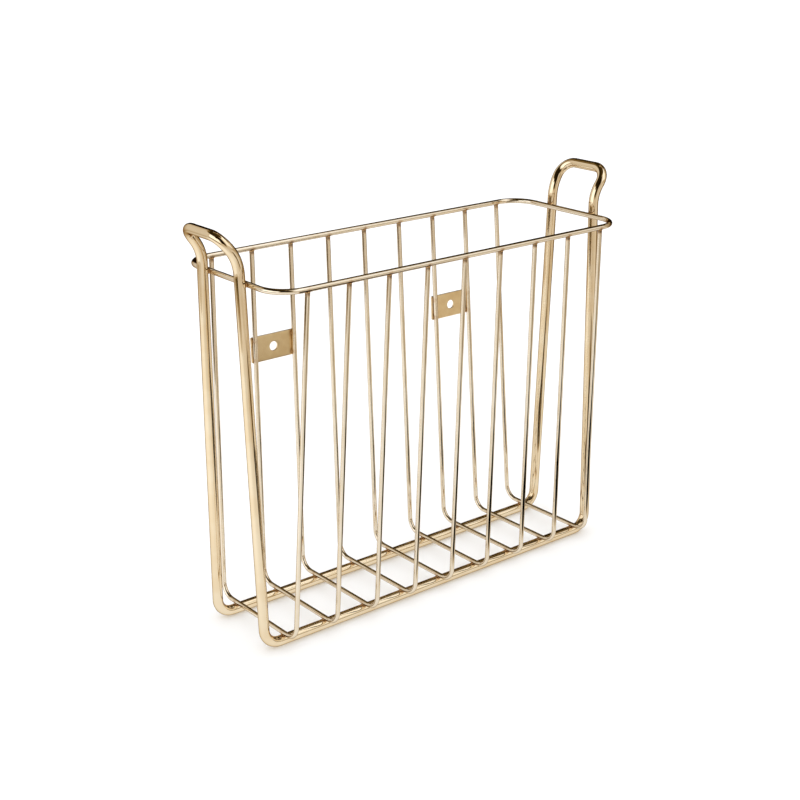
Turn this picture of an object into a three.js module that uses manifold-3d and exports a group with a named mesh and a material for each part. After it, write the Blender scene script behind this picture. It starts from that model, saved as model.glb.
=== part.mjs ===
// Wall magazine rack of bent and welded steel wire, plated pale gold.
//
// Frame: millimetres, +Z up, +X along the length, +Y towards the wall.
// The origin is on the floor, under the middle of the rack.
//
// A heavy wire, bent into one closed loop, makes the two bottom rails, the four legs and the
// two handles. A thinner wire makes the top rim, which is welded between the legs. Nine U-shaped
// wires hang from the rim, lie across the rails and make the basket. Two small plates with a
// screw hole are welded to the back wires.

import * as THREE from "three";
import { mergeVertices } from "three/addons/utils/BufferGeometryUtils.js";
import Module from "manifold-3d";

// Wire diameters
const HEAVY_WIRE = 7;
const RIM_WIRE = 3.7;
const BASKET_WIRE = 3.2;

// Top rim, measured along the middle of its wire
const RIM_LENGTH = 294;
const RIM_DEPTH = 107;
const RIM_CORNER_RADIUS = 19;
const RIM_Z = 247.2;

// Heavy frame, measured along the middle of its wire
const RAIL_HALF_LENGTH = 149;
const RAIL_Y = 28.3;
const RAIL_CORNER_RADIUS = 11.5;
const LEG_Y_AT_RIM = 21.1;
const LEG_TO_RIM_CLEARANCE = 0.05;
const HANDLE_LEAN_Z = 262;
const HANDLE_LEAN_RADIUS = 26;
const HANDLE_REACH = 164.7;
const HANDLE_HALF_WIDTH = 22;
const HANDLE_Z = 278.5;
const HANDLE_CORNER_RADIUS = 11;

// Basket wires
const BASKET_WIRE_COUNT = 9;
const PITCH_AT_RIM = 31.4;
const PITCH_AT_FLOOR = 33.6;
const BASKET_FLOOR_HALF_DEPTH = 43.1;
const BASKET_BEND_RADIUS = 10;

// Wall brackets
const BRACKET_LENGTH = 36;
const BRACKET_HEIGHT = 18;
const BRACKET_THICKNESS = 1.5;
const BRACKET_HOLE = 6.5;
const BRACKET_Z = 176.5;
const BRACKET_BETWEEN_WIRES = { left: [1, 2], right: [6, 7] };
const BRACKET_CLEARANCE = 0.02;

// Faces round a wire and steps round a bend
const FRAME_SIDES = 12;
const BASKET_SIDES = 8;
const STEPS_PER_QUARTER_TURN = 6;
const HOLE_SIDES = 24;

const railZ = HEAVY_WIRE / 2;
const basketFloorZ = HEAVY_WIRE + BASKET_WIRE / 2;
const legXAtRim = (RIM_LENGTH + RIM_WIRE + HEAVY_WIRE) / 2 + LEG_TO_RIM_CLEARANCE;
const rimUnderside = RIM_Z - RIM_WIRE / 2;

// Bright gold plating on drawn wire, and the duller plating on the stamped plates
const WIRE_PLATING = { color: 0xd9b883, roughness: 0.16, metalness: 1 };
const PLATE_PLATING = { color: 0xc9a670, roughness: 0.3, metalness: 1 };

function vec(x, y, z) {
  return new THREE.Vector3(x, y, z);
}

// The stations of a wire that runs straight between corners and turns each corner on an arc.
// Each station holds a point on the middle of the wire and the wire's direction there.
function bentWire(corners, radii, closed = false) {
  const stations = [];
  const last = corners.length - 1;
  corners.forEach((corner, i) => {
    const end = !closed && (i === 0 || i === last);
    if (end) {
      const from = i === 0 ? corner : corners[i - 1];
      const to = i === 0 ? corners[1] : corner;
      const direction = to.clone().sub(from).normalize();
      stations.push({ point: corner.clone(), direction });
      return;
    }
    const before = corners[(i + last) % (last + 1)];
    const after = corners[(i + 1) % (last + 1)];
    stations.push(...bend(before, corner, after, radii[i]));
  });
  return stations;
}

// The arc that replaces a corner
function bend(before, corner, after, radius) {
  const incoming = corner.clone().sub(before).normalize();
  const outgoing = after.clone().sub(corner).normalize();
  const turn = incoming.angleTo(outgoing);
  const start = corner.clone().addScaledVector(incoming, -radius * Math.tan(turn / 2));
  const axis = incoming.clone().cross(outgoing).normalize();
  const centre = axis.clone().cross(incoming).multiplyScalar(radius).add(start);
  const steps = Math.max(2, Math.ceil((turn / (Math.PI / 2)) * STEPS_PER_QUARTER_TURN));
  const stations = [];
  for (let i = 0; i <= steps; i++) {
    const angle = (turn * i) / steps;
    const point = start.clone().sub(centre).applyAxisAngle(axis, angle).add(centre);
    stations.push({ point, direction: incoming.clone().applyAxisAngle(axis, angle) });
  }
  return stations;
}

// Rings of points round a wire. The polygon's flats lie at the true radius, so that wires which
// touch meet flat to flat. The first flat faces firstFlat, and the rings turn with the wire
// without twisting.
function ringsAlong(stations, diameter, sides, firstFlat) {
  const cornerRadius = diameter / 2 / Math.cos(Math.PI / sides);
  let normal = firstFlat.clone();
  let previous = stations[0].direction;
  return stations.map(({ point, direction }) => {
    normal.applyQuaternion(new THREE.Quaternion().setFromUnitVectors(previous, direction));
    normal.addScaledVector(direction, -normal.dot(direction)).normalize();
    previous = direction;
    const side = direction.clone().cross(normal);
    return Array.from({ length: sides }, (unused, i) => {
      const angle = (2 * Math.PI * (i + 0.5)) / sides;
      return point
        .clone()
        .addScaledVector(normal, cornerRadius * Math.cos(angle))
        .addScaledVector(side, cornerRadius * Math.sin(angle));
    });
  });
}

// The closed surface through the rings: a loop, or a wire with a flat face at each end
function skin(rings, closed) {
  const sides = rings[0].length;
  const positions = rings.flat().flatMap((p) => [p.x, p.y, p.z]);
  const faces = [];
  const spans = closed ? rings.length : rings.length - 1;
  for (let i = 0; i < spans; i++) {
    const here = i * sides;
    const next = ((i + 1) % rings.length) * sides;
    for (let j = 0; j < sides; j++) {
      const k = (j + 1) % sides;
      faces.push(here + j, here + k, next + k, here + j, next + k, next + j);
    }
  }
  if (!closed) {
    const far = (rings.length - 1) * sides;
    for (let j = 1; j < sides - 1; j++) {
      faces.push(0, j + 1, j, far, far + j, far + j + 1);
    }
  }
  const geometry = new THREE.BufferGeometry();
  geometry.setAttribute("position", new THREE.Float32BufferAttribute(positions, 3));
  geometry.setIndex(faces);
  return geometry;
}

// Rings mirrored in the plane through the origin that is square to an axis, in reverse order
function mirrored(rings, axis) {
  const flip = (p) => p.clone().setComponent(axis, -p.getComponent(axis));
  return rings.map((ring) => ring.map(flip)).reverse();
}

// One closed wire: rails, legs and handles. A quarter of it is bent, from the middle of the
// front rail to the middle of the right handle, and the other three are its mirror images.
function heavyFrameGeometry() {
  const railMiddle = vec(0, -RAIL_Y, railZ);
  const railCorner = vec(RAIL_HALF_LENGTH, -RAIL_Y, railZ);
  const legAtRim = vec(legXAtRim, -LEG_Y_AT_RIM, RIM_Z);
  const up = (HANDLE_LEAN_Z - railZ) / (RIM_Z - railZ);
  const leanCorner = railCorner.clone().lerp(legAtRim, up);
  const handleCorner = vec(HANDLE_REACH, -HANDLE_HALF_WIDTH, HANDLE_Z);
  const handleMiddle = vec(HANDLE_REACH, 0, HANDLE_Z);
  const corners = [railMiddle, railCorner, leanCorner, handleCorner, handleMiddle];
  const radii = [0, RAIL_CORNER_RADIUS, HANDLE_LEAN_RADIUS, HANDLE_CORNER_RADIUS, 0];
  const quarter = ringsAlong(bentWire(corners, radii), HEAVY_WIRE, FRAME_SIDES, vec(0, 0, -1));
  const rightHalf = [...quarter, ...mirrored(quarter.slice(0, -1), 1)];
  const leftHalf = mirrored(rightHalf.slice(1, -1), 0);
  return skin([...rightHalf, ...leftHalf], true);
}

// The top rim: one closed wire in a level plane
function topRimGeometry() {
  const x = RIM_LENGTH / 2;
  const y = RIM_DEPTH / 2;
  const corners = [vec(x, -y, RIM_Z), vec(x, y, RIM_Z), vec(-x, y, RIM_Z), vec(-x, -y, RIM_Z)];
  const stations = bentWire(corners, Array(4).fill(RIM_CORNER_RADIUS), true);
  return skin(ringsAlong(stations, RIM_WIRE, FRAME_SIDES, vec(0, 0, -1)), true);
}

// How far a basket wire stands from the middle of the rack, counted from the left at 0
function basketWireX(index, pitch) {
  return (index - (BASKET_WIRE_COUNT - 1) / 2) * pitch;
}

// The bottom and the top of a basket wire's back leg, where its straight runs would meet
function backLeg(index) {
  const floorX = basketWireX(index, PITCH_AT_FLOOR);
  const topX = basketWireX(index, PITCH_AT_RIM);
  return {
    low: vec(floorX, BASKET_FLOOR_HALF_DEPTH, basketFloorZ),
    high: vec(topX, RIM_DEPTH / 2, rimUnderside),
  };
}

// One basket wire: its back half is bent, and the front half is its mirror image. Its two ends
// are cut level, to butt against the underside of the rim.
function basketWireGeometry(index) {
  const { low, high } = backLeg(index);
  const floorMiddle = vec(low.x, 0, low.z);
  const stations = bentWire([floorMiddle, low, high], [0, BASKET_BEND_RADIUS, 0]);
  const backHalf = ringsAlong(stations, BASKET_WIRE, BASKET_SIDES, vec(0, 0, -1));
  const along = stations.at(-1).direction;
  for (const p of backHalf.at(-1)) {
    p.addScaledVector(along, (rimUnderside - p.z) / along.z);
  }
  return skin([...mirrored(backHalf.slice(1), 1), ...backHalf], false);
}

const wasm = await Module();
wasm.setup();

function toSolid(geometry) {
  const bare = geometry.clone();
  bare.deleteAttribute("normal");
  bare.deleteAttribute("uv");
  const merged = mergeVertices(bare, 1e-4);
  return new wasm.Manifold(
    new wasm.Mesh({
      numProp: 3,
      vertProperties: new Float32Array(merged.attributes.position.array),
      triVerts: new Uint32Array(merged.index.array),
    }),
  );
}

function toGeometry(solid) {
  const mesh = solid.getMesh();
  const geometry = new THREE.BufferGeometry();
  const positions = new THREE.BufferAttribute(new Float32Array(mesh.vertProperties), 3);
  geometry.setAttribute("position", positions);
  geometry.setIndex(new THREE.BufferAttribute(new Uint32Array(mesh.triVerts), 1));
  return geometry;
}

// A flat plate with one round hole, lying in its own XZ plane
function bracketGeometry() {
  const plate = new THREE.BoxGeometry(BRACKET_LENGTH, BRACKET_THICKNESS, BRACKET_HEIGHT);
  const drill = BRACKET_THICKNESS * 3;
  const hole = new THREE.CylinderGeometry(BRACKET_HOLE / 2, BRACKET_HOLE / 2, drill, HOLE_SIDES);
  return toGeometry(toSolid(plate).subtract(toSolid(hole)));
}

// A bracket lies against the wall side of two back wires and leans as they do.
function placeBracket(mesh, [first, second]) {
  const { low, high } = backLeg(first);
  const next = backLeg(second);
  const up = (BRACKET_Z - low.z) / (high.z - low.z);
  const middle = low.clone().lerp(high, up);
  middle.add(next.low.clone().lerp(next.high, up)).divideScalar(2);
  const lean = Math.atan2(high.y - low.y, high.z - low.z);
  const outwards = vec(0, Math.cos(lean), -Math.sin(lean));
  const distance = (BASKET_WIRE + BRACKET_THICKNESS) / 2 + BRACKET_CLEARANCE;
  mesh.position.copy(middle).addScaledVector(outwards, distance);
  mesh.rotation.x = -lean;
}

function named(name, geometry, plating) {
  const mesh = new THREE.Mesh(geometry, new THREE.MeshStandardMaterial(plating));
  mesh.name = name;
  return mesh;
}

const rack = new THREE.Group();
rack.name = "wall_magazine_rack";
rack.add(named("heavy_frame", heavyFrameGeometry(), WIRE_PLATING));
rack.add(named("top_rim", topRimGeometry(), WIRE_PLATING));

const basket = new THREE.Group();
for (let i = 0; i < BASKET_WIRE_COUNT; i++) {
  basket.add(named(`basket_wire_${i + 1}`, basketWireGeometry(i), WIRE_PLATING));
}
rack.add(basket);

for (const [side, wires] of Object.entries(BRACKET_BETWEEN_WIRES)) {
  const bracket = named(`wall_bracket_${side}`, bracketGeometry(), PLATE_PLATING);
  placeBracket(bracket, wires);
  rack.add(bracket);
}

export default rack;
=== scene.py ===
"""Wall magazine rack: bent wire, welds, stamped wall plates and gold plating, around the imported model."""

import math

import bpy
from mathutils import Matrix, Vector


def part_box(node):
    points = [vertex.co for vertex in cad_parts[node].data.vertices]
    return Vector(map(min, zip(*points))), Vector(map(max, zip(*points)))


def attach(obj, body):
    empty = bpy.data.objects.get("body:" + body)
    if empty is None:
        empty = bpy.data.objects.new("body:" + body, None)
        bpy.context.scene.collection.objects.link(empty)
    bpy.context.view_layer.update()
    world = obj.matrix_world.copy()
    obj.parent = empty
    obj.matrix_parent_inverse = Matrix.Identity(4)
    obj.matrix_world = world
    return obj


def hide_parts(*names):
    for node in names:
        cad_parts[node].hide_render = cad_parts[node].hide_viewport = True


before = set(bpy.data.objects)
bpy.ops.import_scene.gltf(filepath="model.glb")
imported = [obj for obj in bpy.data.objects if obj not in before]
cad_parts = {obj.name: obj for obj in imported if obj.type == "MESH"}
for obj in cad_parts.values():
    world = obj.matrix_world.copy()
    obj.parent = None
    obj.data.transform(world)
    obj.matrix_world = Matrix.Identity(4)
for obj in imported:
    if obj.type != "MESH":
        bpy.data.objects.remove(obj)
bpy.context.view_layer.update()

MM = 0.001

# Wire gauges, and how many sides each wire's round section has
HEAVY_WIRE = 7.0 * MM
RIM_WIRE = 3.7 * MM
BASKET_WIRE = 3.2 * MM
HEAVY_SIDES = 32
RIM_SIDES = 24
BASKET_SIDES = 20

# Top rim, along the middle of its wire
RIM_HALF_LENGTH = 147.0 * MM
RIM_HALF_DEPTH = 53.5 * MM
RIM_CORNER_RADIUS = 19.0 * MM
RIM_Z = 247.2 * MM

# Heavy frame, along the middle of its wire
RAIL_HALF_LENGTH = 149.0 * MM
RAIL_Y = 28.3 * MM
RAIL_CORNER_RADIUS = 11.5 * MM
LEG_Y_AT_RIM = 21.1 * MM
LEG_TO_RIM_CLEARANCE = 0.05 * MM
HANDLE_LEAN_Z = 262.0 * MM
HANDLE_LEAN_RADIUS = 26.0 * MM
HANDLE_REACH = 164.7 * MM
HANDLE_HALF_WIDTH = 22.0 * MM
HANDLE_Z = 278.5 * MM
HANDLE_CORNER_RADIUS = 11.0 * MM

# Basket wires
BASKET_WIRE_COUNT = sum(node.startswith("basket_wire_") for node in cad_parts)
PITCH_AT_RIM = 31.4 * MM
PITCH_AT_FLOOR = 33.6 * MM
BASKET_FLOOR_HALF_DEPTH = 43.1 * MM
BASKET_BEND_RADIUS = 10.0 * MM

# Wall plates, and the two basket wires that each is welded to, counted from 0
PLATE_LENGTH = 36.0 * MM
PLATE_HEIGHT = 18.0 * MM
PLATE_THICKNESS = 1.5 * MM
PLATE_HOLE_RADIUS = 3.25 * MM
PLATE_CORNER_RADIUS = 0.9 * MM
PLATE_EDGE_RADIUS = 0.28 * MM
PLATES = {"left": (1, 2), "right": (6, 7)}

# How finely a plate is divided: points on a corner, and steps on a short side, an edge and a face
CORNER_POINTS = 7
SIDE_STEPS = 10
EDGE_STEPS = 4
FACE_STEPS = 6

RAIL_Z = HEAVY_WIRE / 2
BASKET_FLOOR_Z = HEAVY_WIRE + BASKET_WIRE / 2
RIM_UNDERSIDE = RIM_Z - RIM_WIRE / 2
LEG_X_AT_RIM = RIM_HALF_LENGTH + (RIM_WIRE + HEAVY_WIRE) / 2 + LEG_TO_RIM_CLEARANCE

# Welds: half sizes of the beads along X, Y and Z
RAIL_WELD = Vector((1.75, 2.1, 0.95)) * MM
RIM_END_WELD = Vector((1.95, 1.8, 0.9)) * MM
LEG_WELD = Vector((1.1, 2.6, 2.1)) * MM
PLATE_WELD = Vector((1.7, 0.6, 1.9)) * MM
PLATE_WELD_RISE = 0.36 * PLATE_HEIGHT
SMALLEST_WELD = 0.88
LUMPS_PER_METRE = 0.9 / MM

WHITE = (1.0, 1.0, 1.0, 1.0)


# Helpers for node trees and objects


def feed(tree, socket, value):
    """Link another node's output into a socket, or set the socket to a plain value."""
    if isinstance(value, bpy.types.NodeSocket):
        tree.links.new(value, socket)
    else:
        socket.default_value = value


def add(tree, kind, inputs=None, **settings):
    """A new node with its settings and its inputs, each a value or another node's output."""
    node = tree.nodes.new(kind)
    for key, value in settings.items():
        setattr(node, key, value)
    for key, value in (inputs or {}).items():
        feed(tree, node.inputs[key], value)
    return node


def math_node(tree, operation, *values):
    return add(tree, "ShaderNodeMath", dict(enumerate(values)), operation=operation).outputs[0]


def remap(tree, value, low, high, start=0.0, end=1.0):
    """A smooth step from start to end as value goes from low to high."""
    inputs = {"Value": value, "From Min": low, "From Max": high, "To Min": start, "To Max": end}
    return add(tree, "ShaderNodeMapRange", inputs, interpolation_type="SMOOTHSTEP").outputs["Result"]


def mix(tree, data_type, factor, first, second):
    """Goes from the first value or colour to the second as factor goes from 0 to 1."""
    kind = {"FLOAT": "Float", "RGBA": "Color"}[data_type]
    node = add(tree, "ShaderNodeMix", data_type=data_type)
    for name, value in (("Factor_Float", factor), (f"A_{kind}", first), (f"B_{kind}", second)):
        feed(tree, next(s for s in node.inputs if s.identifier == name), value)
    return next(s for s in node.outputs if s.identifier == f"Result_{kind}")


def noise(tree, place, per_metre, detail):
    inputs = {"Vector": place, "Scale": per_metre, "Detail": detail}
    return add(tree, "ShaderNodeTexNoise", inputs).outputs[0]


def new_group(name, kind, inputs, outputs):
    """An empty node group with named inputs, each (name, socket type, default), and named outputs."""
    group = bpy.data.node_groups.new(name, kind)
    for label, socket_type, default in inputs:
        socket = group.interface.new_socket(label, in_out="INPUT", socket_type=socket_type)
        if default is not None:
            socket.default_value = default
    for label, socket_type in outputs:
        group.interface.new_socket(label, in_out="OUTPUT", socket_type=socket_type)
    return group, group.nodes.new("NodeGroupInput"), group.nodes.new("NodeGroupOutput")


def new_object(name, data):
    """A new object in the scene, for a mesh or a camera."""
    item = bpy.data.objects.new(name, data)
    bpy.context.scene.collection.objects.link(item)
    return item


# Routes of the wires, each a list of (corner, bend radius)

TO_FRONT = Vector((1, -1, 1))
TO_LEFT = Vector((-1, 1, 1))


def mirrored(route, flip):
    """A route's mirror image, run backwards so that the two join end to end."""
    return [(point * flip, radius) for point, radius in reversed(route)]


def basket_wire_x(index, pitch):
    return (index - (BASKET_WIRE_COUNT - 1) / 2) * pitch


def basket_route(index):
    """A U from the front of the rim, down and across the rails, and up to the back of the rim."""
    low_x = basket_wire_x(index, PITCH_AT_FLOOR)
    top_x = basket_wire_x(index, PITCH_AT_RIM)
    back = [
        (Vector((low_x, BASKET_FLOOR_HALF_DEPTH, BASKET_FLOOR_Z)), BASKET_BEND_RADIUS),
        (Vector((top_x, RIM_HALF_DEPTH, RIM_UNDERSIDE)), 0.0),
    ]
    return mirrored(back, TO_FRONT) + back


def frame_route():
    """The heavy loop, from the middle of the back rail round by the right handle."""
    rail_corner = Vector((RAIL_HALF_LENGTH, RAIL_Y, RAIL_Z))
    leg_at_rim = Vector((LEG_X_AT_RIM, LEG_Y_AT_RIM, RIM_Z))
    lean = rail_corner.lerp(leg_at_rim, (HANDLE_LEAN_Z - RAIL_Z) / (RIM_Z - RAIL_Z))
    handle_corner = Vector((HANDLE_REACH, HANDLE_HALF_WIDTH, HANDLE_Z))
    back_right = [
        (rail_corner, RAIL_CORNER_RADIUS),
        (lean, HANDLE_LEAN_RADIUS),
        (handle_corner, HANDLE_CORNER_RADIUS),
    ]
    right = back_right + mirrored(back_right, TO_FRONT)
    return [(Vector((0, RAIL_Y, RAIL_Z)), 0.0)] + right + mirrored(right, TO_LEFT)


def rim_route():
    """The rim's loop, from the middle of its back side round by the right end."""
    x, y = RIM_HALF_LENGTH, RIM_HALF_DEPTH
    corners = [(x, y), (x, -y), (-x, -y), (-x, y)]
    bends = [(Vector((cx, cy, RIM_Z)), RIM_CORNER_RADIUS) for cx, cy in corners]
    return [(Vector((0, y, RIM_Z)), 0.0)] + bends


# Where wires are welded: (place, half sizes of the weld)


def back_stretch(index):
    """The lower and the upper end of a basket wire's straight back stretch, along its middle."""
    (low, _), (high, _) = basket_route(index)[2:]
    return low, high


def back_wire_at(index, z):
    """The middle of a basket wire's back stretch, at a height."""
    low, high = back_stretch(index)
    return low.lerp(high, (z - low.z) / (high.z - low.z))


def plate_middle(side):
    low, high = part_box(f"wall_bracket_{side}")
    return (low + high) / 2


def weld_list():
    welds = []
    for index in range(BASKET_WIRE_COUNT):
        route = basket_route(index)
        for facing in (-1, 1):
            on_rail = Vector((basket_wire_x(index, PITCH_AT_FLOOR), facing * RAIL_Y, HEAVY_WIRE))
            welds.append((on_rail, RAIL_WELD))
        for top in (route[0][0], route[-1][0]):
            welds.append((top, RIM_END_WELD))
    for x_side in (-1, 1):
        for y_side in (-1, 1):
            x = x_side * (RIM_HALF_LENGTH + RIM_WIRE / 2)
            welds.append((Vector((x, y_side * LEG_Y_AT_RIM, RIM_Z)), LEG_WELD))
    for side, wires in PLATES.items():
        middle = plate_middle(side)
        for index in wires:
            for up in (-1, 1):
                on_wire = back_wire_at(index, middle.z + up * PLATE_WELD_RISE)
                welds.append((on_wire + Vector((0, BASKET_WIRE / 2, 0)), PLATE_WELD))
    return welds


def helper_mesh(name, points, edges, **floats):
    """A mesh of points and edges with float or vector attributes, for a geometry tree to read."""
    mesh = bpy.data.meshes.new(name)
    mesh.from_pydata(points, edges, [])
    for key, values in floats.items():
        vector = isinstance(values[0], Vector)
        layer = mesh.attributes.new(key, "FLOAT_VECTOR" if vector else "FLOAT", "POINT")
        for item, value in zip(layer.data, values):
            if vector:
                item.vector = value
            else:
                item.value = value
    return new_object(name, mesh)


# Geometry trees


def named_attribute(tree, name, data_type="FLOAT"):
    node = add(tree, "GeometryNodeInputNamedAttribute", {"Name": name}, data_type=data_type)
    return node.outputs["Attribute"]


def note(tree, geometry, name, data_type, value):
    """The geometry with a value kept on its points as a named attribute."""
    inputs = {"Geometry": geometry, "Name": name, "Value": value}
    node = add(tree, "GeometryNodeStoreNamedAttribute", inputs, data_type=data_type, domain="POINT")
    return node.outputs[0]


def carry(tree, geometry, name, kind, value):
    """The geometry, and a value of its points that the nodes after it can use."""
    node = add(tree, "GeometryNodeCaptureAttribute", {"Geometry": geometry}, domain="POINT")
    node.capture_items.new(kind, name)
    tree.links.new(value, node.inputs[1])
    return node.outputs[0], node.outputs[1]


def coat(tree, geometry, material, result):
    """Ends a tree with its material."""
    coated = add(tree, "GeometryNodeSetMaterial", {"Geometry": geometry, "Material": material})
    tree.links.new(coated.outputs[0], result.inputs[0])


def round_wire_tree():
    """Fillets a route's corners, sweeps a circle along it, and marks the wire near its welds."""
    tree, given, result = new_group(
        "round_wire",
        "GeometryNodeTree",
        [
            ("Route", "NodeSocketGeometry", None),
            ("Diameter", "NodeSocketFloat", BASKET_WIRE),
            ("Sides", "NodeSocketInt", BASKET_SIDES),
            ("Bend steps", "NodeSocketInt", 40),
            ("Spacing", "NodeSocketFloat", 1.5 * MM),
            ("Welds", "NodeSocketObject", None),
            ("Weld size", "NodeSocketFloat", 1.2 * MM),
            ("Weld reach", "NodeSocketFloat", 5.0 * MM),
            ("Cap angle", "NodeSocketFloat", math.radians(50)),
            ("Material", "NodeSocketMaterial", None),
        ],
        [("Wire", "NodeSocketGeometry")],
    )
    curve = add(tree, "GeometryNodeMeshToCurve", {"Mesh": given.outputs["Route"]})
    fillet = add(
        tree,
        "GeometryNodeFilletCurve",
        {
            "Curve": curve.outputs[0],
            "Count": given.outputs["Bend steps"],
            "Radius": named_attribute(tree, "bend_radius"),
        },
        mode="POLY",
    )
    even = add(
        tree,
        "GeometryNodeResampleCurve",
        {"Curve": fillet.outputs[0], "Length": given.outputs["Spacing"]},
        mode="LENGTH",
        keep_last_segment=True,
    )
    length = add(tree, "GeometryNodeSplineParameter").outputs["Length"]
    path, along = carry(tree, even.outputs[0], "along", "FLOAT", length)

    radius = math_node(tree, "DIVIDE", given.outputs["Diameter"], 2.0)
    ring = add(
        tree,
        "GeometryNodeCurvePrimitiveCircle",
        {"Resolution": given.outputs["Sides"], "Radius": radius},
        mode="RADIUS",
    )
    position = add(tree, "GeometryNodeInputPosition").outputs[0]
    section, across = carry(tree, ring.outputs[0], "across", "VECTOR", position)

    swept = add(
        tree,
        "GeometryNodeCurveToMesh",
        {"Curve": path, "Profile Curve": section, "Scale": 1.0, "Fill Caps": True},
    )
    axes = add(tree, "ShaderNodeSeparateXYZ", {0: across}).outputs
    place = add(tree, "ShaderNodeCombineXYZ", {0: axes[0], 1: axes[1], 2: along}).outputs[0]
    spaced = note(tree, swept.outputs[0], "wire_space", "FLOAT_VECTOR", place)

    welds = add(tree, "GeometryNodeObjectInfo", {"Object": given.outputs["Welds"]})
    near = add(tree, "GeometryNodeProximity", {0: welds.outputs["Geometry"]}, target_element="POINTS")
    distance = near.outputs["Distance"]
    heat = remap(tree, distance, given.outputs["Weld size"], given.outputs["Weld reach"], 1.0, 0.0)
    heated = note(tree, spaced, "weld_heat", "FLOAT", heat)

    smooth = add(tree, "GeometryNodeSetShadeSmooth", {"Geometry": heated}, domain="FACE")
    bend = add(tree, "GeometryNodeInputMeshEdgeAngle").outputs["Unsigned Angle"]
    cap_edge = math_node(tree, "GREATER_THAN", bend, given.outputs["Cap angle"])
    crisp = add(
        tree,
        "GeometryNodeSetShadeSmooth",
        {"Geometry": smooth.outputs[0], "Selection": cap_edge, "Shade Smooth": False},
        domain="EDGE",
    )
    real = add(tree, "GeometryNodeRealizeInstances", {0: crisp.outputs[0]})
    coat(tree, real.outputs[0], given.outputs["Material"], result)
    return tree


def weld_tree():
    """A lumpy bead of squeezed-out metal on each weld point."""
    tree, given, result = new_group(
        "weld_beads",
        "GeometryNodeTree",
        [
            ("Points", "NodeSocketGeometry", None),
            ("Smallest", "NodeSocketVector", (SMALLEST_WELD, SMALLEST_WELD, SMALLEST_WELD)),
            ("Lumps per metre", "NodeSocketFloat", LUMPS_PER_METRE),
            ("Lumpiness", "NodeSocketFloat", 0.12 * MM),
            ("Seed", "NodeSocketInt", 4),
            ("Material", "NodeSocketMaterial", None),
        ],
        [("Beads", "NodeSocketGeometry")],
    )
    ball = add(tree, "GeometryNodeMeshIcoSphere", {"Radius": 1.0, "Subdivisions": 3})
    share = add(
        tree,
        "FunctionNodeRandomValue",
        {"Min": given.outputs["Smallest"], "Max": (1.0, 1.0, 1.0), "Seed": given.outputs["Seed"]},
        data_type="FLOAT_VECTOR",
    )
    scale = add(
        tree,
        "ShaderNodeVectorMath",
        {0: named_attribute(tree, "half_size", "FLOAT_VECTOR"), 1: share.outputs["Value"]},
        operation="MULTIPLY",
    )
    placed = add(
        tree,
        "GeometryNodeInstanceOnPoints",
        {"Points": given.outputs["Points"], "Instance": ball.outputs[0], "Scale": scale.outputs[0]},
    )
    real = add(tree, "GeometryNodeRealizeInstances", {0: placed.outputs[0]})
    lumps = add(tree, "ShaderNodeTexNoise", {"Scale": given.outputs["Lumps per metre"], "Detail": 2.0})
    inward = math_node(tree, "SUBTRACT", lumps.outputs[0], 1.0)
    depth = math_node(tree, "MULTIPLY", inward, given.outputs["Lumpiness"])
    normal = add(tree, "GeometryNodeInputNormal").outputs[0]
    offset = add(tree, "ShaderNodeVectorMath", {0: normal, "Scale": depth}, operation="SCALE").outputs[0]
    lumpy = add(tree, "GeometryNodeSetPosition", {"Geometry": real.outputs[0], "Offset": offset})
    smooth = add(tree, "GeometryNodeSetShadeSmooth", {"Geometry": lumpy.outputs[0]}, domain="FACE")
    coat(tree, smooth.outputs[0], given.outputs["Material"], result)
    return tree


def grown(name, source, tree, **inputs):
    """The plain mesh that a geometry tree grows on a helper object, which is then removed."""
    modifier = source.modifiers.new("grow", "NODES")
    modifier.node_group = tree
    for item in tree.interface.items_tree:
        key = item.name.lower().replace(" ", "_")
        if item.item_type == "SOCKET" and item.in_out == "INPUT" and key in inputs:
            modifier[item.identifier] = inputs[key]
    depsgraph = bpy.context.evaluated_depsgraph_get()
    mesh = bpy.data.meshes.new_from_object(source.evaluated_get(depsgraph), depsgraph=depsgraph)
    mesh.name = name
    source.modifiers.remove(modifier)
    bpy.data.objects.remove(source)
    return new_object(name, mesh)


# Finishes

# How much light the wires' plating keeps where it is seen edge on
EDGE_TINT = (0.32, 0.2, 0.1, 1.0)

# Roughness of each finish where it is smoothest, and how far it varies from there
WIRE_ROUGHNESS = 0.04
WIRE_ROUGHNESS_SPREAD = 0.04
PLATE_ROUGHNESS = 0.24
PLATE_ROUGHNESS_SPREAD = 0.12
WELD_ROUGHNESS = 0.22

# Grain of the stamped plates and pits of the weld metal: how many, and how deep
PLATE_GRAIN_PER_METRE = 1500.0
PLATE_GRAIN = {"Strength": 0.6, "Distance": 0.02 * MM}
PITS_PER_METRE = 2400.0
PITS = {"Strength": 1.0, "Distance": 0.06 * MM}

# Heat of the weld beads where it is least, and how far it varies from there
WELD_HEAT = 0.35
WELD_HEAT_SPREAD = 0.5

# Painted shade on a wall plate where each wire crosses it: how much over a welded wire, and the distances
# where it starts to fall and ends
PLATE_WIRE_SHADE = 0.75
PLATE_WIRE_SHADE_CORE = 0.8 * MM
PLATE_WIRE_SHADE_REACH = 3.2 * MM

# Tints that weld heat leaves, the same tints standing for painted shade on the wall plates: colour, the
# heat where each begins and where it is full, and its full strength
HEAT_AND_SHADE_TINTS = {
    "straw": ((0.60, 0.34, 0.13, 1.0), 0.25, 0.8, 0.5),
    "dark brown": ((0.14, 0.075, 0.03, 1.0), 0.6, 1.05, 0.85),
}

# How much rougher the plating is at full heat, and the heat where that begins
HEAT_ROUGHNESS = 0.22
ROUGHENING_HEAT = 0.3
FULL_HEAT = 1.0


def stretched_noise(tree, place, along, per_metre, detail):
    """Noise that is drawn out along a wire: along is its fineness that way, as a share."""
    drawn = add(tree, "ShaderNodeMapping", {"Vector": place, "Scale": (1.0, 1.0, along)})
    return noise(tree, drawn.outputs[0], per_metre, detail)


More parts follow.
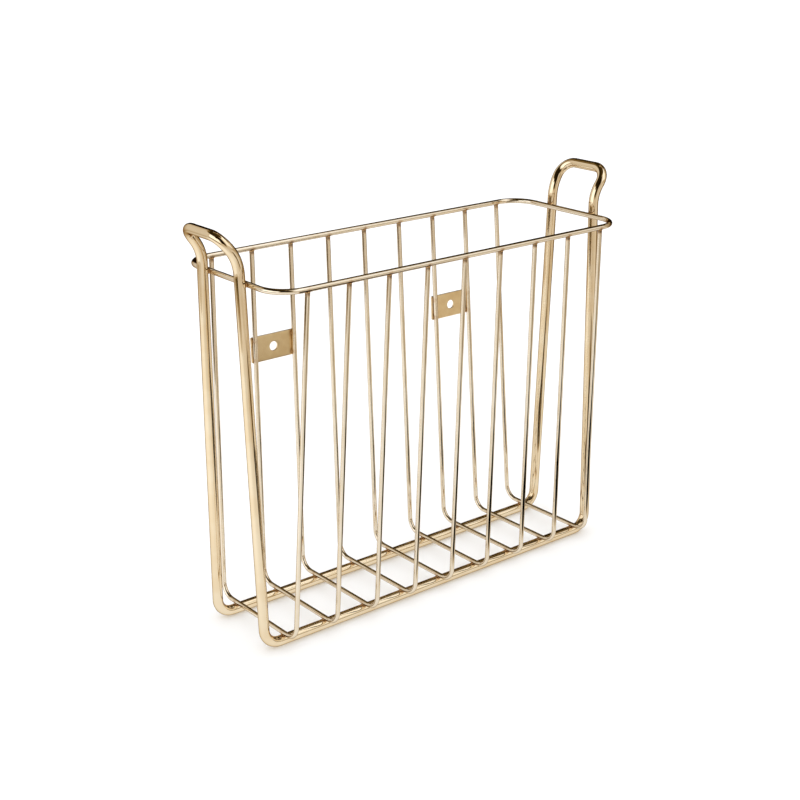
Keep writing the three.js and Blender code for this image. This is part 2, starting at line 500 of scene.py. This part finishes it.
def drawn_grain_group():
    """Fine lines that wire drawing leaves along a wire, and slow waves in its surface."""
    group, given, result = new_group(
        "drawn_grain",
        "ShaderNodeTree",
        [
            ("Place", "NodeSocketVector", None),
            ("Lines per metre", "NodeSocketFloat", 2600.0),
            ("Wave per metre", "NodeSocketFloat", 90.0),
            ("Line height", "NodeSocketFloat", 0.008),
        ],
        [("Lines", "NodeSocketFloat"), ("Height", "NodeSocketFloat")],
    )
    place = given.outputs["Place"]
    lines = stretched_noise(group, place, 0.02, given.outputs["Lines per metre"], detail=3.0)
    waves = stretched_noise(group, place, 0.35, given.outputs["Wave per metre"], detail=1.5)
    height = math_node(group, "MULTIPLY_ADD", lines, given.outputs["Line height"], waves)
    group.links.new(lines, result.inputs["Lines"])
    group.links.new(height, result.inputs["Height"])
    return group


def heat_and_shade_tint_group():
    """Straw and brown tints that a weld leaves in the plating around it, in uneven patches. On the wall
    plates the same tints are painted shade beside the wires.
    """
    group, given, result = new_group(
        "heat_tint",
        "ShaderNodeTree",
        [
            ("Colour", "NodeSocketColor", (0.8, 0.6, 0.3, 1.0)),
            ("Heat", "NodeSocketFloat", 0.0),
            ("Roughness", "NodeSocketFloat", 0.1),
            ("Place", "NodeSocketVector", None),
            ("Patches per metre", "NodeSocketFloat", 420.0),
        ],
        [("Colour", "NodeSocketColor"), ("Roughness", "NodeSocketFloat")],
    )
    unevenness = 0.7
    patches = noise(group, given.outputs["Place"], given.outputs["Patches per metre"], detail=3.0)
    wander = math_node(group, "MULTIPLY_ADD", patches, unevenness, -unevenness / 2)
    heat = math_node(group, "MULTIPLY_ADD", wander, given.outputs["Heat"], given.outputs["Heat"])
    colour = given.outputs["Colour"]
    for tint, begins, full, strength in HEAT_AND_SHADE_TINTS.values():
        share = remap(group, heat, begins, full, 0.0, strength)
        colour = mix(group, "RGBA", share, colour, tint)
    burnt = remap(group, heat, ROUGHENING_HEAT, FULL_HEAT)
    rough = math_node(group, "MULTIPLY_ADD", burnt, HEAT_ROUGHNESS, given.outputs["Roughness"])
    group.links.new(colour, result.inputs["Colour"])
    group.links.new(rough, result.inputs["Roughness"])
    return group


def plating_group():
    """Gold plating whose depth of colour wanders a little from place to place."""
    group, given, result = new_group(
        "gold_plating",
        "ShaderNodeTree",
        [
            ("Pale", "NodeSocketColor", (0.9, 0.7, 0.4, 1.0)),
            ("Deep", "NodeSocketColor", (0.8, 0.5, 0.2, 1.0)),
            ("Patches per metre", "NodeSocketFloat", 60.0),
            ("Pale below", "NodeSocketFloat", 0.35),
            ("Deep above", "NodeSocketFloat", 0.68),
        ],
        [("Colour", "NodeSocketColor")],
    )
    where = add(group, "ShaderNodeTexCoord").outputs["Object"]
    patches = noise(group, where, given.outputs["Patches per metre"], detail=2.0)
    depth = remap(group, patches, given.outputs["Pale below"], given.outputs["Deep above"])
    tone = mix(group, "RGBA", depth, given.outputs["Pale"], given.outputs["Deep"])
    group.links.new(tone, result.inputs["Colour"])
    return group


def placed_group(tree, group, inputs):
    return add(tree, "ShaderNodeGroup", inputs, node_tree=group)


GRAIN = drawn_grain_group()
HEAT_AND_SHADE_TINT = heat_and_shade_tint_group()
PLATING = plating_group()


def new_metal(name):
    """A bare metal: its material, its node tree and its shader."""
    material = bpy.data.materials.new(name)
    material.use_nodes = True
    shader = material.node_tree.nodes["Principled BSDF"]
    shader.inputs["Metallic"].default_value = 1.0
    return material, material.node_tree, shader


def finish_metal(tree, shader, plating, heat, roughness, place, height, relief):
    """Plates a metal and tints it by its heat, which on the wall plates is painted shade. Relief is how
    strongly its height shows.
    """
    tone = placed_group(tree, PLATING, plating).outputs["Colour"]
    look = {"Colour": tone, "Heat": heat, "Roughness": roughness, "Place": place}
    tint = placed_group(tree, HEAT_AND_SHADE_TINT, look)
    bump = add(tree, "ShaderNodeBump", {"Height": height, **relief})
    tree.links.new(tint.outputs["Colour"], shader.inputs["Base Color"])
    tree.links.new(tint.outputs["Roughness"], shader.inputs["Roughness"])
    tree.links.new(bump.outputs["Normal"], shader.inputs["Normal"])


def wire_gold(name, plating, wave_depth):
    """Bright plating over drawn wire, tinted near the wire's welds."""
    material, tree, shader = new_metal(name)
    shader.inputs["Specular Tint"].default_value = EDGE_TINT
    place = add(tree, "ShaderNodeAttribute", attribute_name="wire_space").outputs["Vector"]
    heat = add(tree, "ShaderNodeAttribute", attribute_name="weld_heat").outputs["Fac"]
    grain = placed_group(tree, GRAIN, {"Place": place})
    rough = math_node(
        tree, "MULTIPLY_ADD", grain.outputs["Lines"], WIRE_ROUGHNESS_SPREAD, WIRE_ROUGHNESS
    )
    waves = {"Strength": 1.0, "Distance": wave_depth}
    finish_metal(tree, shader, plating, heat, rough, place, grain.outputs["Height"], waves)
    return material


def plate_gold():
    """Satin plating, with painted shade in straw and brown strips where the wires are welded across the
    plate's two ends.
    """
    material, tree, shader = new_metal("satin_gold_plate")
    plating = {
        "Pale": (0.93, 0.745, 0.45, 1.0),
        "Deep": (0.86, 0.66, 0.37, 1.0),
        "Patches per metre": 140.0,
    }
    place = add(tree, "ShaderNodeAttribute", attribute_name="plate_space").outputs["Vector"]
    from_middle = math_node(tree, "ABSOLUTE", add(tree, "ShaderNodeSeparateXYZ", {0: place}).outputs[0])
    wire_offset = (PITCH_AT_FLOOR + PITCH_AT_RIM) / 4
    from_wire = math_node(tree, "ABSOLUTE", math_node(tree, "SUBTRACT", from_middle, wire_offset))
    # Painted shade: a straw to dark brown strip on the plate where each wire crosses it
    heat = remap(tree, from_wire, PLATE_WIRE_SHADE_CORE, PLATE_WIRE_SHADE_REACH, PLATE_WIRE_SHADE, 0.0)
    stamped = noise(tree, place, PLATE_GRAIN_PER_METRE, detail=4.0)
    rough = math_node(tree, "MULTIPLY_ADD", stamped, PLATE_ROUGHNESS_SPREAD, PLATE_ROUGHNESS)
    finish_metal(tree, shader, plating, heat, rough, place, stamped, PLATE_GRAIN)
    return material


def weld_gold():
    """Plating over rough weld metal."""
    material, tree, shader = new_metal("weld_gold")
    plating = {"Pale": (0.80, 0.54, 0.27, 1.0), "Deep": (0.66, 0.38, 0.15, 1.0)}
    place = add(tree, "ShaderNodeTexCoord").outputs["Object"]
    pits = noise(tree, place, PITS_PER_METRE, detail=3.0)
    heat = math_node(tree, "MULTIPLY_ADD", pits, WELD_HEAT_SPREAD, WELD_HEAT)
    finish_metal(tree, shader, plating, heat, WELD_ROUGHNESS, place, pits, PITS)
    return material


HEAVY_GOLD = wire_gold(
    "polished_gold_heavy_wire",
    {"Pale": (0.93, 0.785, 0.56, 1.0), "Deep": (0.89, 0.72, 0.48, 1.0)},
    wave_depth=0.04 * MM,
)
THIN_GOLD = wire_gold(
    "polished_gold_thin_wire",
    {"Pale": (0.92, 0.82, 0.66, 1.0), "Deep": (0.88, 0.765, 0.59, 1.0)},
    wave_depth=0.02 * MM,
)


# Pieces

weld_places = weld_list()
weld_points = helper_mesh(
    "weld_points", [p for p, _ in weld_places], [], half_size=[s for _, s in weld_places]
)
WIRE_TREE = round_wire_tree()


def wire_piece(name, route, closed, **looks):
    """One wire swept along its route. Looks are its diameter, its sides and its material."""
    points = [point for point, _ in route]
    radii = [radius for _, radius in route]
    edges = [(i, i + 1) for i in range(len(points) - 1)]
    if closed:
        edges.append((len(points) - 1, 0))
    source = helper_mesh(f"{name}_route", points, edges, bend_radius=radii)
    return grown(name, source, WIRE_TREE, welds=weld_points, **looks)


def rounded_rectangle(half_length, half_height, radius):
    """Points round a rectangle with rounded corners, anticlockwise from the right side."""
    points = []
    quarters = ((1, 1, 0), (-1, 1, 90), (-1, -1, 180), (1, -1, 270))
    for x_side, z_side, turn in quarters:
        centre = Vector((x_side * (half_length - radius), z_side * (half_height - radius)))
        for step in range(CORNER_POINTS):
            angle = math.radians(turn + 90 * step / (CORNER_POINTS - 1))
            points.append(centre + radius * Vector((math.cos(angle), math.sin(angle))))
    filled = []
    for i, point in enumerate(points):
        following = points[(i + 1) % len(points)]
        filled.append(point)
        stretch = following - point
        # Points on a corner are closer than its radius, so only the straight sides are divided
        if stretch.length > radius:
            steps = SIDE_STEPS if abs(stretch.x) < abs(stretch.y) else 2 * SIDE_STEPS
            filled.extend(point.lerp(following, k / steps) for k in range(1, steps))
    return filled


def plate_rings():
    """Rings of (x, depth, z) points that close into a plate with a hole and softened edges."""
    half = PLATE_THICKNESS / 2
    soft = PLATE_EDGE_RADIUS
    arc = [math.radians(90 * k / EDGE_STEPS) for k in range(EDGE_STEPS + 1)]

    def outer(inset, depth):
        outline = rounded_rectangle(
            PLATE_LENGTH / 2 - inset, PLATE_HEIGHT / 2 - inset, PLATE_CORNER_RADIUS - inset
        )
        return [Vector((p.x, depth, p.y)) for p in outline]

    def inner(widening, depth):
        directions = [Vector((p.x, p.z)).normalized() for p in outer(0.0, 0.0)]
        radius = PLATE_HOLE_RADIUS + widening
        return [Vector((d.x * radius, depth, d.y * radius)) for d in directions]

    def between(first, second, steps):
        return [[a.lerp(b, k / steps) for a, b in zip(first, second)] for k in range(1, steps)]

    rings = []
    for facing in (-1, 1):
        roll = [(soft * (1 - math.cos(a)), facing * (half - soft * (1 - math.sin(a)))) for a in arc]
        hole = [inner(inset, depth) for inset, depth in roll]
        edge = [outer(inset, depth) for inset, depth in reversed(roll)]
        whole = hole + between(hole[-1], edge[0], FACE_STEPS) + edge
        rings += whole if facing < 0 else list(reversed(whole))
    return rings


def wall_plate(side, material):
    """A wall plate on the back of its two wires, leaning as they do."""
    rings = plate_rings()
    count = len(rings[0])
    points = [p for ring in rings for p in ring]
    faces = []
    for i in range(len(rings)):
        here, following = i * count, ((i + 1) % len(rings)) * count
        for j in range(count):
            k = (j + 1) % count
            faces.append((here + j, here + k, following + k, following + j))
    low, high = back_stretch(PLATES[side][0])
    lean = math.atan2(high.y - low.y, high.z - low.z)
    stand = Matrix.Translation(plate_middle(side)) @ Matrix.Rotation(-lean, 4, "X")
    mesh = bpy.data.meshes.new(f"wall_plate_{side}")
    mesh.from_pydata([stand @ p for p in points], [], faces)
    layer = mesh.attributes.new("plate_space", "FLOAT_VECTOR", "POINT")
    for item, point in zip(layer.data, points):
        item.vector = point
    mesh.shade_smooth()
    mesh.materials.append(material)
    return new_object(mesh.name, mesh)


def dress(piece, slot, *nodes):
    """Put a piece on the rack's one body, in place of its CAD nodes. Its slot is not used."""
    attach(piece, "root")
    if nodes:
        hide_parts(*nodes)


heavy_look = {"diameter": HEAVY_WIRE, "sides": HEAVY_SIDES, "material": HEAVY_GOLD}
rim_look = {"diameter": RIM_WIRE, "sides": RIM_SIDES, "material": THIN_GOLD}
basket_look = {"diameter": BASKET_WIRE, "sides": BASKET_SIDES, "material": THIN_GOLD}

heavy = wire_piece("heavy_frame_wire", frame_route(), closed=True, **heavy_look)
dress(heavy, "plated_wire", "heavy_frame")
rim = wire_piece("top_rim_wire", rim_route(), closed=True, **rim_look)
dress(rim, "plated_wire", "top_rim")
for number in range(1, BASKET_WIRE_COUNT + 1):
    node = f"basket_wire_{number}"
    wire = wire_piece(f"{node}_round", basket_route(number - 1), closed=False, **basket_look)
    dress(wire, "plated_wire", node)

satin = plate_gold()
for plate_side in PLATES:
    dress(wall_plate(plate_side, satin), "plated_plate", f"wall_bracket_{plate_side}")

dress(grown("weld_beads", weld_points, weld_tree(), material=weld_gold()), "plated_wire")


# Studio


def patch(tree, across, up, middle, half_size, tilt, soft):
    """1 inside a tilted rectangle on two coordinates, with soft edges."""
    from_middle = (
        math_node(tree, "SUBTRACT", across, middle[0]),
        math_node(tree, "SUBTRACT", up, middle[1]),
    )
    masks = []
    turns = ((math.cos(tilt), math.sin(tilt)), (-math.sin(tilt), math.cos(tilt)))
    for (across_share, up_share), half in zip(turns, half_size):
        part = math_node(tree, "MULTIPLY", from_middle[0], across_share)
        turned = math_node(tree, "MULTIPLY_ADD", from_middle[1], up_share, part)
        distance = math_node(tree, "ABSOLUTE", turned)
        masks.append(remap(tree, distance, half - soft, half + soft, 1.0, 0.0))
    return math_node(tree, "MULTIPLY", *masks)


def patched_light(tree, across, up, light, patches, measure):
    """A light with patches laid over it in turn. Measure turns their sizes into the tree's units."""
    for middle, half_size, tilt, soft, level in patches.values():
        sizes = [measure(v) for v in middle], [measure(v) for v in half_size]
        mask = patch(tree, across, up, *sizes, math.radians(tilt), measure(soft))
        light = mix(tree, "FLOAT", mask, light, level)
    return light


# Colour of what the metal mirrors where it is dark, and the light from which on it is white
DIM_TINT = (1.0, 0.62, 0.13, 1.0)
WHITE_LIGHT = 1.02


def warm_when_dim(tree, light):
    """White where the surroundings are bright, and brown where they are dim."""
    dimness = remap(tree, light, 0.0, WHITE_LIGHT, 1.0, 0.0)
    return mix(tree, "RGBA", dimness, WHITE, DIM_TINT)


def square_sheet(name, reach, z, material):
    """A level square round the origin, which is only part of the studio."""
    mesh = bpy.data.meshes.new(name)
    corners = [(-reach, -reach, z), (reach, -reach, z), (reach, reach, z), (-reach, reach, z)]
    mesh.from_pydata(corners, [], [(0, 1, 2, 3)])
    mesh.materials.append(material)
    sheet = new_object(name, mesh)
    return sheet


FLOOR_REACH = 6.0
FLOOR_PAINT = (0.9, 0.9, 0.9, 1.0)


def studio_floor():
    """A plain white sweep that the rack stands on. Metal mirrors the table top instead of it."""
    white = bpy.data.materials.new("white_sweep")
    white.use_nodes = True
    shader = white.node_tree.nodes["Principled BSDF"]
    shader.inputs["Base Color"].default_value = FLOOR_PAINT
    shader.inputs["Roughness"].default_value = 0.9
    shader.inputs["Specular IOR Level"].default_value = 0.0
    floor = square_sheet("floor", FLOOR_REACH, 0, white)
    floor.visible_glossy = False


# The table top as the metal mirrors it. Each patch is laid over the ones before it, and has its middle
# and its half size in mm, its tilt in degrees, its soft edge in mm and its light.
TABLE_PATCHES = {
    "bright left side": ((-530, 150), (320, 320), 0, 190, 1.08),
    "front left corner": ((-560, -560), (250, 250), 0, 150, 0.78),
    "front right side": ((650, -500), (400, 190), 0, 110, 0.6),
    "dim right end": ((770, 60), (130, 270), 0, 60, 0.3),
    "far edge": ((0, 850), (900, 280), 0, 150, 0.55),
    # Painted shadow: the last four patches are the rack's own shadow on the table top, and the shade round
    # it
    "shade left of the rack's shadow": ((-190, -580), (130, 170), -28, 90, 0.62),
    "shade before the rack's shadow": ((90, -595), (125, 190), -8, 50, 0.12),
    "near half of the rack's shadow": ((80, -172), (130, 84), 0, 12, 0.0),
    "far half of the rack's shadow": ((62, -325), (114, 130), -8, 16, 0.0),
}
TABLE_LIGHT = 0.86
TABLE_REACH = 800 * MM
TABLE_Z = -0.5 * MM


def mirrored_table():
    """The table top as the metal mirrors it: white, with the rack's shadow painted black on it in front of
    the rack.
    """
    top = bpy.data.materials.new("table_top")
    top.use_nodes = True
    tree = top.node_tree
    tree.nodes.clear()
    place = add(tree, "ShaderNodeTexCoord").outputs["Object"]
    x, y, _ = add(tree, "ShaderNodeSeparateXYZ", {0: place}).outputs
    light = patched_light(tree, x, y, TABLE_LIGHT, TABLE_PATCHES, lambda v: v * MM)
    glow = add(tree, "ShaderNodeEmission", {"Color": warm_when_dim(tree, light), "Strength": light})
    out = add(tree, "ShaderNodeOutputMaterial")
    tree.links.new(glow.outputs[0], out.inputs["Surface"])
    top.cycles.emission_sampling = "NONE"
    table = square_sheet("mirrored_table", TABLE_REACH, TABLE_Z, top)
    table.visible_camera = False
    table.visible_diffuse = False
    table.visible_shadow = False
    table.visible_transmission = False


# The room round the rack as the metal mirrors it. Each patch is laid over the ones before it, and has
# the heading and the rise of its middle, its half size, its tilt and its soft edge, all in degrees, and
# its light. Heading 0 looks to the front and 90 to the right.
ROOM_PATCHES = {
    "left window": ((-91, 16), (31, 20), 0, 6, 1.42),
    "front light": ((26, 41), (27, 21), 0, 7, 1.15),
    "high right light": ((47, 59), (38, 11), 0, 5, 1.3),
    "right wall": ((75, 12), (36, 16), 0, 6, 0.48),
    "back left wall": ((-160, 18), (26, 26), 0, 6, 0.75),
    "back wall": ((172, 14), (12, 22), 0, 5, 0.7),
    "ceiling at the back left": ((-110, 61), (70, 14), 0, 3, 0.03),
    "ceiling overhead": ((0, 80), (190, 11), 0, 4, 0.05),
    "beam on the left": ((-101, 46), (53, 10), 0, 3, 0.02),
    "low beam on the left": ((-70, 34), (16, 6), 0, 3, 0.03),
    "dim beam at the back left": ((-165, 42), (15, 6), 0, 3, 0.2),
    "dark screen at the front left": ((-37, 36), (22, 26), 15, 3, 0.01),
    "low shade at the front left": ((-24, 8), (11, 6), 0, 3, 0.1),
    "low shade in front": ((33, 6), (13, 7), 0, 4, 0.5),
    "small lamp in front": ((42, 23), (11, 13), 0, 4, 1.0),
    "low lamp in front": ((30, -10), (16, 4), 0, 2, 0.75),
    "dark wall on the right": ((95, 4), (13, 13), 0, 4, 0.15),
    "dark floor on the right": ((88, -15), (26, 8), 0, 4, 0.25),
    "dark beam at the front right": ((76, 41), (13, 5), 20, 3, 0.05),
    "dark beam on the right": ((88, 49), (17, 5), 0, 3, 0.02),
    "dim ceiling at the back right": ((110, 56), (16, 8), 0, 4, 0.06),
    "dark screen on the right": ((112, 37), (21, 10), 0, 3, 0.01),
    "dark corner at the back": ((156, 52), (26, 13), 0, 3, 0.01),
    "dark post at the back right": ((149, 16), (20, 22), 0, 3, 0.02),
    "dark floor at the back right": ((120, 5), (19, 15), 0, 4, 0.02),
    "dark floor on the left": ((-100, -12.5), (32, 3.5), 0, 1.5, 0.03),
}
ROOM_LIGHT = 0.67

# The plain white light that the eye sees behind the rack, and that lights the floor
PLAIN_LIGHT = 1.38


def studio_room():
    """Lights, walls and dark gaps that only the metal mirrors. All else gets plain white light."""
    world = bpy.data.worlds.new("studio")
    world.use_nodes = True
    bpy.context.scene.world = world
    tree = world.node_tree
    tree.nodes.clear()
    look = add(tree, "ShaderNodeTexCoord").outputs["Generated"]
    x, y, z = add(tree, "ShaderNodeSeparateXYZ", {0: look}).outputs
    heading = math_node(tree, "ARCTAN2", x, math_node(tree, "MULTIPLY", y, -1.0))
    rise = math_node(tree, "ARCSINE", z)
    mirrored_light = patched_light(tree, heading, rise, ROOM_LIGHT, ROOM_PATCHES, math.radians)

    path = add(tree, "ShaderNodeLightPath")
    plain = math_node(tree, "MAXIMUM", path.outputs["Is Camera Ray"], path.outputs["Is Diffuse Ray"])
    colour = mix(tree, "RGBA", plain, warm_when_dim(tree, mirrored_light), WHITE)
    strength = mix(tree, "FLOAT", plain, mirrored_light, PLAIN_LIGHT)
    surface = add(tree, "ShaderNodeBackground", {"Color": colour, "Strength": strength})
    out = add(tree, "ShaderNodeOutputWorld")
    tree.links.new(surface.outputs[0], out.inputs["Surface"])


def camera():
    """The photograph's view: its heading round the rack, its height, its tilt and its lens."""
    azimuth = math.radians(-39.05)
    elevation = math.radians(19.85)
    tilt = math.radians(-0.2)
    distance = 1174.0 * MM
    target = Vector((75.7, 107.3, 85.8)) * MM
    back = Vector(
        (
            math.sin(azimuth) * math.cos(elevation),
            -math.cos(azimuth) * math.cos(elevation),
            math.sin(elevation),
        )
    )
    level = Vector((0, 0, 1)).cross(back).normalized()
    upright = back.cross(level)
    right = level * math.cos(tilt) + upright * math.sin(tilt)
    up = upright * math.cos(tilt) - level * math.sin(tilt)
    data = bpy.data.cameras.new("camera")
    data.lens = 66.45
    data.sensor_width = 36.0
    data.clip_start = 0.05
    data.clip_end = 50.0
    view = new_object("camera", data)
    turned = Matrix((right, up, back)).transposed().to_4x4()
    view.matrix_world = Matrix.Translation(target + back * distance) @ turned
    bpy.context.scene.camera = view


studio_floor()
mirrored_table()
studio_room()
camera()
bpy.context.scene.view_settings.view_transform = "Standard"

bpy.context.view_layer.update()
